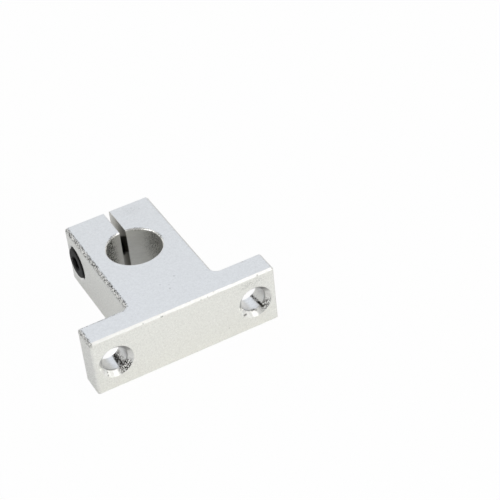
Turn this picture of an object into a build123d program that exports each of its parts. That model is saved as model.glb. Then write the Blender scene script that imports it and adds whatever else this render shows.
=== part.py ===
from build123d import *
import os

# Split shaft support block for a 12 mm shaft, with its clamp screw. Lengths are in millimetres.
# The block lies on one broad face: the shaft runs along Z, the base along X, and the mounting
# face looks towards -Y. The origin is on the shaft's axis, in the lower broad face.

# T-shaped profile, as seen along the shaft
base_length = 42.0
base_thickness = 6.0
stem_width = 20.0
overall_height = 37.5
shaft_height = 23.0
block_width = 14.0
corner_radius = 0.55
head_side_fillet = 1.2
tapped_side_fillet = 1.6
face_chamfer = 0.45

# Bore for the shaft, and the sawn slit that lets it close
shaft_diameter = 12.0
bore_rim_chamfer = 0.25
slit_width = 1.35
slit_edge_chamfer = 0.1

# Screw holes through the base, countersunk on the mounting face and eased on the other
mounting_spacing = 32.0
mounting_hole_diameter = 5.5
mounting_sink_width = 1.1
back_sink_width = 0.3
sink_angle = 90

# Clamp screw: a socket head cap screw, M4 x 16
screw_diameter = 4.0
head_diameter = 7.0
head_height = 4.0
head_edge_radius = 0.35
neck_radius = 0.2
tip_chamfer = 0.6
socket_width = 3.0
socket_depth = 2.0
socket_entry_chamfer = 0.4
socket_floor_depth = 0.6
pilot_allowance = 0.05

# How the screw sits in the block
head_proud = 0.25
tip_recess = 0.25
thread_clearance = 0.05
shank_clearance = 0.25
head_clearance = 0.25
counterbore_rim_chamfer = 0.4
tapped_rim_chamfer = 0.5

# Places worked out from the sizes above
mounting_y = -shaft_height
base_back_y = mounting_y + base_thickness
head_end_y = mounting_y + overall_height
mid_z = block_width / 2
half_base = base_length / 2
half_stem = stem_width / 2
bore_radius = shaft_diameter / 2
screw_axis_y = (bore_radius + head_end_y) / 2
screw_length = stem_width + head_proud - head_height - tip_recess
thread_radius = screw_diameter / 2 - thread_clearance
counterbore_radius = head_diameter / 2 + head_clearance
pilot_radius = socket_width / 2 - pilot_allowance

mounting_face = Plane(origin=(0, mounting_y, mid_z), x_dir=(1, 0, 0), z_dir=(0, -1, 0))
base_back = Plane(origin=(0, base_back_y, mid_z), x_dir=(1, 0, 0), z_dir=(0, 1, 0))
head_side = Plane(origin=(-half_stem, screw_axis_y, mid_z), x_dir=(0, 1, 0), z_dir=(-1, 0, 0))
tapped_side = Plane(origin=(half_stem, screw_axis_y, mid_z), x_dir=(0, 1, 0), z_dir=(1, 0, 0))
head_face = Plane(origin=(-half_stem - head_proud, screw_axis_y, mid_z), x_dir=(0, 1, 0), z_dir=(1, 0, 0))
screw_section = Plane(origin=head_face.origin, x_dir=(1, 0, 0), z_dir=(0, 0, -1))
screw_axis = Axis(head_face.origin, head_face.z_dir)


def upright_edge(builder, x, y):
    """The upright edge of the builder's part that stands nearest to x, y."""
    return builder.edges().filter_by(Axis.Z).sort_by_distance((x, y, mid_z))[0]


def circle_at(builder, centre, radius):
    """The circular edge of this radius whose centre lies nearest to the point."""
    circles = builder.edges().filter_by(GeomType.CIRCLE)
    return min(circles, key=lambda e: (e.arc_center - Vector(centre)).length + abs(e.radius - radius))


def corner_point(builder, x, y):
    """The corner of the builder's sketch that lies nearest to x, y."""
    return builder.vertices().sort_by_distance((x, y, 0))[0]


# The block: a length of T-profile, chamfered round both broad faces
with BuildPart() as support_block:
    with BuildSketch(Plane.XY) as profile:
        with Locations((0, mounting_y)):
            Rectangle(base_length, base_thickness, align=(Align.CENTER, Align.MIN))
            Rectangle(stem_width, overall_height, align=(Align.CENTER, Align.MIN))
    extrude(amount=block_width)
    fillet(upright_edge(support_block, -half_stem, base_back_y), head_side_fillet)
    fillet(upright_edge(support_block, half_stem, base_back_y), tapped_side_fillet)
    for side in (-1, 1):
        fillet(upright_edge(support_block, side * half_base, mounting_y), corner_radius)
        fillet(upright_edge(support_block, side * half_base, base_back_y), corner_radius)
        fillet(upright_edge(support_block, side * half_stem, head_end_y), corner_radius)
    chamfer(support_block.faces().filter_by(Axis.Z).edges(), face_chamfer)

    # Bore, with its rims eased while they are still whole circles
    with Locations((0, 0, block_width)):
        Hole(bore_radius, depth=block_width)
    for z in (0, block_width):
        chamfer(circle_at(support_block, (0, 0, z), bore_radius), bore_rim_chamfer)

    # Slit from the bore out through the head end, its long edges eased on both broad faces
    with BuildSketch(Plane.XZ) as slit:
        with BuildLine():
            lip = slit_width / 2
            mouth = lip + slit_edge_chamfer
            right_wall = Polyline(
                (mouth, 0),
                (lip, slit_edge_chamfer),
                (lip, block_width - slit_edge_chamfer),
                (mouth, block_width),
            )
            mirror(right_wall, about=Plane.YZ)
            Line((-mouth, 0), (mouth, 0))
            Line((-mouth, block_width), (mouth, block_width))
        make_face()
    extrude(amount=-head_end_y, mode=Mode.SUBTRACT)

    # Mounting holes, sunk from the mounting face and from the back of the base
    for face, sink_width in ((mounting_face, mounting_sink_width), (base_back, back_sink_width)):
        with Locations(face):
            with Locations((-mounting_spacing / 2, 0), (mounting_spacing / 2, 0)):
                CounterSinkHole(
                    mounting_hole_diameter / 2,
                    mounting_hole_diameter / 2 + sink_width,
                    depth=base_thickness,
                    counter_sink_angle=sink_angle,
                )

    # Clamp screw's way through: recess and clearance in one ear, thread in the other
    with Locations(head_side):
        Hole(screw_diameter / 2 + shank_clearance, depth=half_stem)
        CounterSinkHole(
            counterbore_radius,
            counterbore_radius + counterbore_rim_chamfer,
            depth=head_height - head_proud,
            counter_sink_angle=sink_angle,
        )
    with Locations(tapped_side):
        CounterSinkHole(
            screw_diameter / 2,
            screw_diameter / 2 + tapped_rim_chamfer,
            depth=half_stem,
            counter_sink_angle=sink_angle,
        )

support_block.part.label = "support_block"

# The clamp screw: turned about its own axis, then a hexagon socket sunk in its head
with BuildPart() as clamp_screw:
    with BuildSketch(screw_section) as turned_outline:
        with BuildLine():
            Polyline(
                (0, 0),
                (0, head_diameter / 2),
                (head_height, head_diameter / 2),
                (head_height, thread_radius),
                (head_height + screw_length, thread_radius),
                (head_height + screw_length, 0),
                close=True,
            )
        make_face()
        fillet(corner_point(turned_outline, 0, head_diameter / 2), head_edge_radius)
        fillet(corner_point(turned_outline, head_height, thread_radius), neck_radius)
        chamfer(corner_point(turned_outline, head_height + screw_length, thread_radius), tip_chamfer)
    revolve(axis=screw_axis)

    with BuildSketch(head_face) as socket:
        RegularPolygon(socket_width / 2, 6, major_radius=False)
    extrude(amount=socket_depth, mode=Mode.SUBTRACT)

    # Coned mouth and drilled floor of the socket
    with BuildSketch(screw_section) as socket_pilot:
        with BuildLine():
            Polyline(
                (0, 0),
                (0, pilot_radius + socket_entry_chamfer),
                (socket_entry_chamfer, pilot_radius),
                (socket_depth, pilot_radius),
                (socket_depth + socket_floor_depth, 0),
                close=True,
            )
        make_face()
    revolve(axis=screw_axis, mode=Mode.SUBTRACT)

clamp_screw.part.label = "clamp_screw"

os.makedirs("parts", exist_ok=True)
export_step(support_block.part, "parts/support_block.step")
export_step(clamp_screw.part, "parts/clamp_screw.step")
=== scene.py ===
"""Looks of a split shaft support block and its clamp screw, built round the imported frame.

Sizes and shapes are worked out in millimetres and go into the meshes in metres. The block's
broad faces look along Z, its mounting face towards -Y, and the clamp screw lies along X.
"""
import logging
import math
from collections.abc import Callable
from dataclasses import dataclass, field
from enum import Enum, IntEnum

import bmesh
import bpy
import numpy as np
from mathutils import Matrix, Vector
from mathutils.geometry import delaunay_2d_cdt


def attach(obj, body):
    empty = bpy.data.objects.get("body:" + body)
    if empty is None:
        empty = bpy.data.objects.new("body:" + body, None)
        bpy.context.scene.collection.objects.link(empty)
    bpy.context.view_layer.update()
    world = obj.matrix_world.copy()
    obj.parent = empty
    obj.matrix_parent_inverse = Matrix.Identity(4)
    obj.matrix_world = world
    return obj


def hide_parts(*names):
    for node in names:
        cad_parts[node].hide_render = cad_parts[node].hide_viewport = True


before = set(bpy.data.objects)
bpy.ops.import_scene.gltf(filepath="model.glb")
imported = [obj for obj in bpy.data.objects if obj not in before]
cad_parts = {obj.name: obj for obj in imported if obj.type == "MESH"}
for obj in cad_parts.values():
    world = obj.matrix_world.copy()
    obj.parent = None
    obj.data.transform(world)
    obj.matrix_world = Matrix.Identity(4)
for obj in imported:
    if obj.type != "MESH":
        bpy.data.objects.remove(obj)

LOG = logging.getLogger("support_block")
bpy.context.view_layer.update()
MM = 0.001
TURN = 2 * math.pi
JOIN_MM = 2e-4
WELD_MM = 2e-5
HAIR_AREA = 1e-5
FILL_SLACK = 1e-7
PAIRS_AT_ONCE = 2_000_000

Array = np.ndarray
Pair = tuple[float, float]
Triple = tuple[float, float, float]


class Cut(IntEnum):
    """How each surface of the block was made; the number is its material's place."""

    BROAD_FACE = 0
    SIDE = 1
    CHAMFER = 2
    BORE = 3
    HOLE = 4
    SLIT = 5
    RIM = 6


class Lamp(Enum):
    """The studio's soft lamps."""

    OVERHEAD = "lamp_overhead"
    FRONT = "lamp_front"
    KEY = "lamp_key"
    LEFT = "lamp_left"


def smooth_step(low: float, high: float, value: Array) -> Array:
    """Rises from 0 at low to 1 at high, by three t squared less two t cubed.

    Args:
        low: Where the rise begins.
        high: Where it ends.
        value: The values to grade.

    Returns:
        The graded values, 0 to 1.
    """
    t = np.clip((value - low) / (high - low), 0.0, 1.0)
    return t * t * (3 - 2 * t)


def fall(low: float, high: float, value: Array) -> Array:
    """Falls from 1 at low to 0 at high, by one less the smooth step."""
    return 1 - smooth_step(low, high, value)


def degrees(x: Array, y: Array) -> Array:
    """The angle of each place, from the first axis towards the second."""
    return np.degrees(np.arctan2(y, x))


def even_turns(count: int) -> Array:
    """Angles that share a full turn evenly, from 0."""
    return np.arange(count) * TURN / count


def unit_circle(turn: Array) -> Array:
    """Points of a circle of radius 1: the cosine and the sine of each angle."""
    return np.stack([np.cos(turn), np.sin(turn)], axis=1)


def at_height(plane: Array, height: float) -> Array:
    """Points of a line or a plane, with one height added as their last coordinate."""
    return np.column_stack([plane, np.full(len(plane), height)])


def round_axis(x: float | Array, radius: float | Array, turn: Array, axis: Pair) -> Array:
    """Points round an axis that lies along X: cosine and sine by the radius, in Y and Z.

    Args:
        x: Their places along the axis.
        radius: Their distances from it.
        turn: Their angles.
        axis: The axis's Y and Z.

    Returns:
        The points, one to a row.
    """
    y, z = axis[0] + radius * np.cos(turn), axis[1] + radius * np.sin(turn)
    return np.column_stack([np.broadcast_to(x, len(turn)), y, z])


def grain(points: Array, size: float, seed: int) -> Array:
    """A smooth random field, with one random value for each corner of a lattice of cubes.

    The eight values round a point are blended by the smooth step of its place in its cube.

    Args:
        points: Places, one to a row.
        size: The side of a cube.
        seed: Starts the random values.

    Returns:
        A value from 0 to 1 for each place.
    """
    cells = points / size
    whole = np.floor(cells).astype(int)
    low = whole.min(axis=0)
    values = np.random.default_rng(seed).random(whole.max(axis=0) - low + 2)
    part = cells - whole
    part = part * part * (3 - 2 * part)
    total = np.zeros(len(points))
    for corner in np.ndindex(2, 2, 2):
        weight = np.prod(np.where(corner, part, 1 - part), axis=1)
        total += weight * values[tuple((whole - low + corner).T)]
    return total


def in_parts(points: Array, others: Array) -> list[Array]:
    """Splits points into runs small enough to be compared with all the others at once."""
    count = 1 + len(points) * len(others) // PAIRS_AT_ONCE
    return [part for part in np.array_split(points, count) if len(part)]


def clearance(points: Array, others: Array) -> Array:
    """The distance from each point to the nearest of the others, by comparing all pairs.

    Args:
        points: Places in the plane.
        others: Places to keep clear of.

    Returns:
        A distance for each place.
    """
    found = [np.zeros(0)]
    for part in in_parts(points, others):
        found.append(np.sqrt(((part[:, None] - others[None]) ** 2).sum(axis=2).min(axis=1)))
    return np.concatenate(found)


def within(points: Array, loop: Array) -> Array:
    """Which points lie inside a closed loop, by counting the sides that a level ray crosses.

    Args:
        points: Places in the plane.
        loop: Corners of the loop in order.

    Returns:
        True for each place inside.
    """
    ahead = np.roll(loop, -1, axis=0)
    rise = np.where(ahead[:, 1] == loop[:, 1], 1.0, ahead[:, 1] - loop[:, 1])
    found = [np.zeros(0, dtype=bool)]
    for part in in_parts(points, loop):
        x, y = part[:, :1], part[:, 1:]
        spans = (loop[:, 1] > y) != (ahead[:, 1] > y)
        crossing = loop[:, 0] + (y - loop[:, 1]) * (ahead[:, 0] - loop[:, 0]) / rise
        found.append((spans & (x < crossing)).sum(axis=1) % 2 == 1)
    return np.concatenate(found)


def lattice(low: Pair, high: Pair, step: float) -> Array:
    """Points of an even square lattice strictly between two corners.

    Args:
        low: Lowest corner.
        high: Highest corner.
        step: Spacing aimed at.

    Returns:
        The points, one to a row.
    """
    axes = [np.linspace(a, b, max(2, round((b - a) / step)) + 1)[1:-1] for a, b in zip(low, high)]
    return np.stack(np.meshgrid(*axes, indexing="ij"), axis=-1).reshape(-1, 2)


@dataclass
class Flat:
    """A flat or unrolled patch: its points in the plane and in space, and the lines it keeps."""

    plane: list[Array] = field(default_factory=list)
    space: list[Array] = field(default_factory=list)
    wear_and_shade: list[Array] = field(default_factory=list)
    edges: list[Array] = field(default_factory=list)
    holes: list[tuple[int, int]] = field(default_factory=list)
    outside: tuple[int, int] = (0, 0)
    count: int = 0

    def add(self, plane: Array, space: Array, wear_and_shade: float | Array = 0.0) -> int:
        """Adds points.

        Args:
            plane: Their places in the patch's plane.
            space: The same points in space.
            wear_and_shade: How near each lies to a broken edge, 0 to 1.

        Returns:
            The number of the first.
        """
        first = self.count
        self.plane.append(plane)
        self.space.append(space)
        self.wear_and_shade.append(np.broadcast_to(wear_and_shade, len(plane)).astype(float))
        self.count += len(plane)
        return first

    def add_ring(
        self, plane: Array, space: Array, wear_and_shade: float | Array = 0.0, hole: bool = False
    ) -> None:
        """Adds a closed ring, the patch's outside or the rim of a hole in it.

        Args:
            plane: The ring in the patch's plane.
            space: The ring in space.
            wear_and_shade: How near it lies to a broken edge.
            hole: Whether it is a hole's rim.
        """
        first = self.add(plane, space, wear_and_shade)
        here = np.arange(len(plane))
        self.edges.append(first + np.stack([here, (here + 1) % len(plane)], axis=1))
        if hole:
            self.holes.append((first, first + len(plane)))
        else:
            self.outside = (first, first + len(plane))

    def triangles(self) -> Array:
        """Triangles between the kept rings and lines, by Delaunay's rule.

        A triangle with all its corners on one hole's rim fills that hole, and is left out. So is
        one whose middle lies outside the patch, or which is a hair's width along its edge.

        Returns:
            The numbers of each triangle's corners.
        """
        plane = np.concatenate(self.plane)
        edges = np.concatenate(self.edges)
        filled = delaunay_2d_cdt(plane.tolist(), edges.tolist(), [], 1, FILL_SLACK, True)
        faces, source = filled[2], filled[3]
        if any(not which for which in source):
            raise ValueError("two kept lines of a patch cross")
        number = np.array([which[0] for which in source])
        found = number[np.array([face for face in faces if len(face) == 3])]
        for first, last in self.holes:
            found = found[~((found >= first) & (found < last)).all(axis=1)]
        first, last = self.outside
        a, b, c = plane[found[:, 0]], plane[found[:, 1]], plane[found[:, 2]]
        ab, ac = b - a, c - a
        area = np.abs(ab[:, 0] * ac[:, 1] - ab[:, 1] * ac[:, 0]) / 2
        hair = (area < HAIR_AREA) & ((found >= first) & (found < last)).all(axis=1)
        return found[within((a + b + c) / 3, plane[first:last]) & ~hair]


@dataclass
class Skin:
    """One closed surface, gathered patch by patch and joined where patches share points."""

    points: list[Array] = field(default_factory=list)
    wear_and_shade: list[Array] = field(default_factory=list)
    faces: list[Array] = field(default_factory=list)
    kinds: list[Array] = field(default_factory=list)
    count: int = 0

    def add(self, points: Array, faces: Array, kind: int, wear_and_shade: float | Array = 0.0) -> None:
        """Adds a patch of triangles.

        Args:
            points: Its points in space.
            faces: Its triangles.
            kind: The place of its material.
            wear_and_shade: How near each point lies to a broken edge, 0 to 1.
        """
        self.points.append(points)
        self.wear_and_shade.append(np.broadcast_to(wear_and_shade, len(points)).astype(float))
        self.faces.append(faces + self.count)
        self.kinds.append(np.full(len(faces), int(kind)))
        self.count += len(points)

    def add_flat(self, flat: Flat, kind: int) -> None:
        """Adds a patch filled between its rings."""
        self.add(np.concatenate(flat.space), flat.triangles(), kind, np.concatenate(flat.wear_and_shade))

    def add_grid(
        self, grid: Array, kind: int, wear_and_shade: float | Array = 0.0, ring: bool = False
    ) -> None:
        """Adds a grid of points, rows by columns, each square of it as two triangles.

        Args:
            grid: Rows by columns by three.
            kind: The place of its material.
            wear_and_shade: One value for all, or one for each row.
            ring: Whether the last column joins the first.
        """
        rows, columns = grid.shape[:2]
        number = np.arange(rows * columns).reshape(rows, columns)
        if ring:
            number = np.concatenate([number, number[:, :1]], axis=1)
        a, b, c, d = number[:-1, :-1], number[:-1, 1:], number[1:, 1:], number[1:, :-1]
        halves = [np.stack([a, b, c], axis=-1), np.stack([a, c, d], axis=-1)]
        faces = np.stack(halves, axis=2).reshape(-1, 3)
        wear_and_shade = np.broadcast_to(np.reshape(wear_and_shade, (-1, 1)), (rows, columns)).ravel()
        self.add(grid.reshape(-1, 3), faces, kind, wear_and_shade)

    def add_cap(self, rim: Array, middle: Array, kind: int) -> None:
        """Closes a ring with triangles that meet at one point.

        Args:
            rim: The ring's points.
            middle: Where they meet.
            kind: The place of its material.
        """
        here = np.arange(len(rim))
        faces = np.stack([here, (here + 1) % len(rim), np.full(len(rim), len(rim))], axis=1)
        self.add(np.concatenate([rim, middle[None]]), faces, kind)

    def piece(self, name: str, materials: list[bpy.types.Material]) -> bpy.types.Object:
        """Joins the patches and makes the piece, at the origin, in metres.

        Points that share a place to within a hair are made one, and the faces turned outwards.

        Args:
            name: The piece's name.
            materials: Its materials, in the order of the kinds.

        Returns:
            The piece.
        """
        points = np.concatenate(self.points)
        keys = np.round(points / JOIN_MM).astype(np.int64)
        _, first, number = np.unique(keys, axis=0, return_index=True, return_inverse=True)
        number = number.ravel()
        wear_and_shade = np.zeros(len(first))
        np.maximum.at(wear_and_shade, number, np.concatenate(self.wear_and_shade))
        faces = number[np.concatenate(self.faces)]
        real = (faces != np.roll(faces, -1, axis=1)).all(axis=1)
        mesh = bpy.data.meshes.new(name)
        mesh.from_pydata((points[first] * MM).tolist(), [], faces[real].tolist())
        mesh.polygons.foreach_set("material_index", np.concatenate(self.kinds)[real])
        mesh.attributes.new("wear_and_shade", "FLOAT", "POINT").data.foreach_set("value", wear_and_shade)
        shell = bmesh.new()
        shell.from_mesh(mesh)
        bmesh.ops.remove_doubles(shell, verts=shell.verts, dist=WELD_MM * MM)
        bmesh.ops.recalc_face_normals(shell, faces=shell.faces)
        open_edges = sum(not edge.is_manifold for edge in shell.edges)
        shell.to_mesh(mesh)
        shell.free()
        for material in materials:
            mesh.materials.append(material)
        made = bpy.data.objects.new(name, mesh)
        bpy.context.scene.collection.objects.link(made)
        LOG.info("%s: %d triangles, %d open edges", name, len(mesh.polygons), open_edges)
        return made


def shade(made: bpy.types.Object, sharp_degrees: float) -> None:
    """Shades a piece smooth, but for edges that turn by more than an angle."""
    mesh = made.data
    mesh.polygons.foreach_set("use_smooth", np.ones(len(mesh.polygons), dtype=bool))
    mesh.set_sharp_from_angle(angle=math.radians(sharp_degrees))


@dataclass(frozen=True)
class Bell:
    """A share that swells round a middle value."""

    middle: float
    wide: float
    height: float = 1.0
    power: int = 2

    def at(self, value: Array) -> Array:
        """Height by e to the minus of the distance over the width, put to the power."""
        return self.height * np.exp(-((value - self.middle) / self.wide) ** self.power)


@dataclass(frozen=True)
class Hill:
    """A share that rises over one span of a value and falls over another."""

    rise: Pair
    drop: Pair
    height: float = 1.0

    def at(self, value: Array) -> Array:
        """Height by a smooth step up by a smooth step down."""
        return self.height * smooth_step(*self.rise, value) * fall(*self.drop, value)


@dataclass(frozen=True)
class Nick:
    """A small bowl knocked into the block: its middle, its radius, its depth and how dark it is."""

    place: Triple
    radius: float
    depth: float
    dark: float = 0.0


@dataclass(frozen=True)
class TornShadedBand:
    """A band that the drill tore along the wall of one mounting hole, darkened by painted shade.

    Its side is -1 for the left hole and 1 for the right one. Its angle goes round the hole from
    +X towards +Z, and is the one halfway through the base. The twist is what it gains for each
    millimetre towards the back, and the end is the Y where the band stops at the front. Beyond
    the band, specks reach over the fringe's angle, and over a wider bell where the hole's mouth
    is sunk.
    """

    side: int
    angle: float
    twist: float
    half: float
    end: float
    dark: float
    fringe: float
    mouth: float


@dataclass(frozen=True)
class EdgeWearAndShade:
    """Chips, nicks, small dents and torn drilling marks, as on the photographed block.

    The chips' dark colour is painted shade, and the class also paints shade in the slit, round
    the clamp screw, on the counterbore's wall, on the bore's left side and in the mounting holes.
    The strengths scale the chips of one edge each. A reach is how far in from an edge or a
    surface a mark still belongs to it, and a span holds the two values that a share rises or
    falls between. Angles are in degrees.
    """

    seed: int = 41
    long_grain: float = 0.52
    short_grain: float = 0.22
    line_grain: Pair = (0.3, 0.16)
    clump_grain: float = 0.32
    tear_grain: float = 0.28
    pit_span: Pair = (0.64, 0.74)
    line_span: Pair = (0.03, 0.085)
    clump_span: Pair = (0.3, 0.5)
    clump_least: float = 0.45
    pits: float = 0.8
    pit_mix: float = 0.45
    lines: float = 0.85
    line_mix: float = 0.6
    bite: float = 0.07
    tear: float = 0.11

    upper_edges: float = 0.14
    lower_edges: float = 0.04
    head_side: float = 1.2
    base_back: float = 0.9
    base_end: float = 0.85
    lower_rim: float = 0.02
    upper_reach: float = 2.0
    side_reach: float = 0.8
    fillet_reach: float = 1.0
    back_reach: float = 0.7
    end_reach: float = 1.0
    crisp_reach: Pair = (0.6, 0.7)
    rim_marks: tuple[Bell, ...] = (Bell(61, 10, 1.3), Bell(2, 10, 1.3), Bell(117, 9, 1.3))

    bands: tuple[TornShadedBand, ...] = (
        TornShadedBand(-1, -64.0, 0.8, 10.5, -21.99, 0.95, 22.0, 1.1),
        TornShadedBand(1, -56.5, -1.6, 4.8, -22.4, 1.0, 4.0, 0.8),
    )
    skin_reach: float = 0.02
    wall_reach: float = 0.05
    face_reach: float = 0.1
    bore_reach: float = 0.15
    mouth_reach: float = 0.3
    chamfer_reach: float = 0.4
    sunk_reach: float = 0.03
    hole_reach: float = 0.1
    core_span: Pair = (0.8, 1.2)
    fringe_specks: float = 0.62
    fringe_shape: Pair = (0.35, 0.62)
    # Painted shade: a line behind the sunk cone's edge, and the top of the mouth.
    cone_shade_line: float = 0.5
    cone_shade_span: Pair = (0.12, 0.36)
    cone_shade_gap: Bell = Bell(-78.0, 16.0, 0.7)
    mouth_specks: Bell = Bell(14.0, 28.0, 1.0, 4)
    mouth_shade: Hill = Hill((30.0, 55.0), (100.0, 125.0), 0.4)

    bore_right: Bell = Bell(19.0, 24.0, 0.58)
    bore_right_span: Pair = (2.0, 10.0)
    # Painted shade on the bore's left side, as dark specks and as darkening.
    bore_left_shade: Hill = Hill((102.0, 130.0), (148.0, 168.0), 0.95)
    bore_shade: Hill = Hill((103.0, 130.0), (148.0, 168.0), 0.22)
    ear_cloud: tuple[Bell, Bell] = (Bell(5.0, 1.7, 0.14), Bell(11.5, 1.3))
    # Above the right hole: partly grain, partly painted shade.
    hole_cloud: tuple[Bell, Bell] = (Bell(15.5, 3.0, 0.3), Bell(12.2, 1.0))
    left_stem: float = 0.05
    left_end: float = 0.12

    # Painted shade in the slit, near the bore and round the screw's way.
    slit_shade: float = 0.45
    slit_shade_span: Pair = (6.0, 12.0)
    screw_shade_span: Pair = (1.9, 2.7)
    # The screw's painted shadow, aslant on the slit's right wall.
    screw_shadow: Hill = Hill((11.9, 12.3), (16.4, 16.8))
    screw_shadow_slope: float = 0.68
    screw_shadow_span: Pair = (10.5, 11.5)
    # Painted shade on the counterbore's wall behind the head.
    hollow_shade: float = 0.95
    counterbore_shade_span: Pair = (-9.65, -9.3)
    counterbore_shade_end: float = -6.0

    nicks: tuple[Nick, ...] = (
        Nick((2.63, -13.54, 14.0), 0.34, 0.02, 0.26), Nick((0.13, -16.6, 14.0), 0.3, 0.02, 0.26),
        Nick((-1.03, -14.39, 14.0), 0.3, 0.02, 0.2), Nick((0.48, -15.43, 14.0), 0.25, 0.02, 0.18),
        Nick((5.1, 12.4, 14.0), 0.3, 0.02, 0.12), Nick((6.6, 11.3, 14.0), 0.25, 0.025, 0.14),
        Nick((4.2, 10.9, 14.0), 0.22, 0.02, 0.14), Nick((2.1, 12.0, 14.0), 0.22, 0.02, 0.16),
        Nick((2.75, 9.4, 14.0), 0.22, 0.02, 0.14), Nick((4.0, 8.5, 14.0), 0.2, 0.02, 0.14),
        Nick((1.7, 8.5, 14.0), 0.2, 0.02, 0.12), Nick((-5.6, 9.7, 14.0), 0.2, 0.015),
        Nick((12.6, -20.4, 14.0), 0.2, 0.015), Nick((-9.5, -16.7, 14.0), 0.24, 0.03, 0.6),
        Nick((16.5, -17.5, 13.9), 0.42, 0.12, 0.3), Nick((-5.1, -23.0, 13.52), 0.24, 0.03, 0.9),
        Nick((-4.8, -23.0, 13.5), 0.24, 0.03, 0.9), Nick((-9.1, -22.9, 13.65), 0.2, 0.03, 0.6),
        Nick((5.5, -22.95, 13.6), 0.2, 0.03, 0.6), Nick((3.96, -22.98, 13.56), 0.22, 0.03, 0.7),
        Nick((7.1, -22.6, 13.98), 0.2, 0.02, 0.3), Nick((-20.6, -22.6, 13.6), 0.3, 0.05, 0.9),
        Nick((17.1, -22.8, 13.65), 0.3, 0.04, 0.5), Nick((13.78, -22.56, 4.4), 0.3, 0.03, 1.0),
        Nick((13.5, -22.7, 4.5), 0.36, 0.05, 1.0), Nick((13.2, -22.88, 4.6), 0.3, 0.03, 1.0),
        Nick((9.4, -23.0, 3.1), 0.26, 0.03, 0.35), Nick((-18.09, -22.34, 4.59), 0.24, 0.03, 0.9),
        Nick((-18.18, -22.76, 4.12), 0.26, 0.04, 0.9), Nick((15.5, -21.95, 4.2), 0.36, 0.02, 1.0),
        Nick((15.95, -21.9, 4.15), 0.4, 0.02, 1.0), Nick((16.3, -22.2, 4.1), 0.36, 0.02, 1.0),
        Nick((18.43, -22.9, 5.54), 0.32, 0.03, 0.9),
    )

    def strength(self, place: Array, block: "SupportBlock") -> Array:
        """How badly each stretch of edge is chipped, from none at 0.

        The upper edges of the head side and of the base's left end took the knocks. The long
        edge over the mounting face and the holes' rims stayed sharp, and the bore's rim has a
        few marks, each as a bell round its angle.

        Args:
            place: Points in millimetres.
            block: The block, for its sizes.

        Returns:
            A factor for the depth of the chips.
        """
        x, y, z = place.T
        upper = z > block.width - self.upper_reach
        left = upper & (x < self.side_reach - block.half_stem)
        on_stem = y > block.base_back_y + self.fillet_reach
        on_back = ~on_stem & (y > block.base_back_y - self.back_reach)
        past_corner = x > self.crisp_reach[0] - block.half_base
        value = np.where(upper, self.upper_edges, self.lower_edges)
        value = np.where(left & on_stem, self.head_side, value)
        value = np.where(left & on_back, self.base_back, value)
        value = np.where(upper & (x < self.end_reach - block.half_base), self.base_end, value)
        value = np.where((y < block.mounting_y + self.crisp_reach[1]) & past_corner, 0.0, value)
        marks = sum(mark.at(degrees(x, y)) for mark in self.rim_marks)
        rim = np.hypot(x, y) < block.bore + self.side_reach
        return np.where(rim, np.where(upper, marks, self.lower_rim), value)

    def chips(self, place: Array) -> Array:
        """Pits and thin wandering lines.

        The pits are two random fields mixed and cut off at a level. The lines run where another
        such mix passes its middle value.

        Args:
            place: Points in millimetres.

        Returns:
            How far into a chip each point lies, 0 to 1.
        """
        coarse = grain(place, self.long_grain, self.seed)
        fine = grain(place, self.short_grain, self.seed + 1)
        mixed = self.pit_mix * coarse + (1 - self.pit_mix) * fine
        pits = self.pits * smooth_step(*self.pit_span, mixed)
        coarse = grain(place, self.line_grain[0], self.seed + 2)
        fine = grain(place, self.line_grain[1], self.seed + 3)
        mixed = self.line_mix * coarse + (1 - self.line_mix) * fine
        lines = self.lines * fall(*self.line_span, np.abs(mixed - 0.5))
        return np.maximum(pits, lines)

    def in_holes(self, place: Array, block: "SupportBlock") -> tuple[Array, Array]:
        """How darkened by painted shade and how torn the mounting holes are.

        Each band has painted shade between two smooth steps of the angle, broken up by a random
        field. A line of painted shade follows the wall's front edge, where the drill and the sinking
        tool met, and ends at a smooth step of the depth. The top of the sunk mouth has painted shade.
        The specks are a bell of the angle beyond the band, and a wider one on the mouth.

        Args:
            place: Points in millimetres.
            block: The block, for its sizes.

        Returns:
            How dark the painted shade makes the metal, and how torn it is, each 0 to 1.
        """
        x, y, z = place.T
        hole_shade, torn = np.zeros(len(place)), np.zeros(len(place))
        clump = smooth_step(*self.clump_span, grain(place, self.clump_grain, self.seed + 5))
        clump = self.clump_least + (1 - self.clump_least) * clump
        reach = block.mounting_hole + block.front_sink + self.hole_reach
        wall_y = block.mounting_y + block.front_sink
        in_base = (y < block.base_back_y + self.hole_reach) & (y > block.mounting_y + self.sunk_reach)
        from_middle = y - (block.mounting_y + block.base_back_y) / 2
        for band in self.bands:
            out, up = x - band.side * block.mounting_x, z - block.mid
            turn = degrees(out, up)
            across = turn - band.angle - band.twist * from_middle
            inside = in_base & (np.hypot(out, up) < reach)
            wall = inside & (y > wall_y - self.skin_reach / 2)
            # The band's painted shade, broken up by clumps.
            core = band.dark * fall(*self.core_span, np.abs(across) / band.half) * clump
            # The line of painted shade behind the sunk cone's edge.
            line = self.cone_shade_line * fall(*self.cone_shade_span, y - wall_y)
            line = line * (1 - self.cone_shade_gap.at(turn))
            middle, wide = (share * band.fringe for share in self.fringe_shape)
            beyond = Bell(band.half + middle, wide, self.fringe_specks)
            mouth = band.mouth * self.mouth_specks.at(across)
            # Painted shade: the line on the wall, and the top of the mouth elsewhere.
            edge = np.where(wall, line, self.mouth_shade.at(turn))
            hole_shade = np.where(inside, np.maximum(core * (y > band.end), edge), hole_shade)
            torn = np.where(inside, np.where(wall, beyond.at(across), mouth), torn)
        return hole_shade, torn

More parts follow.
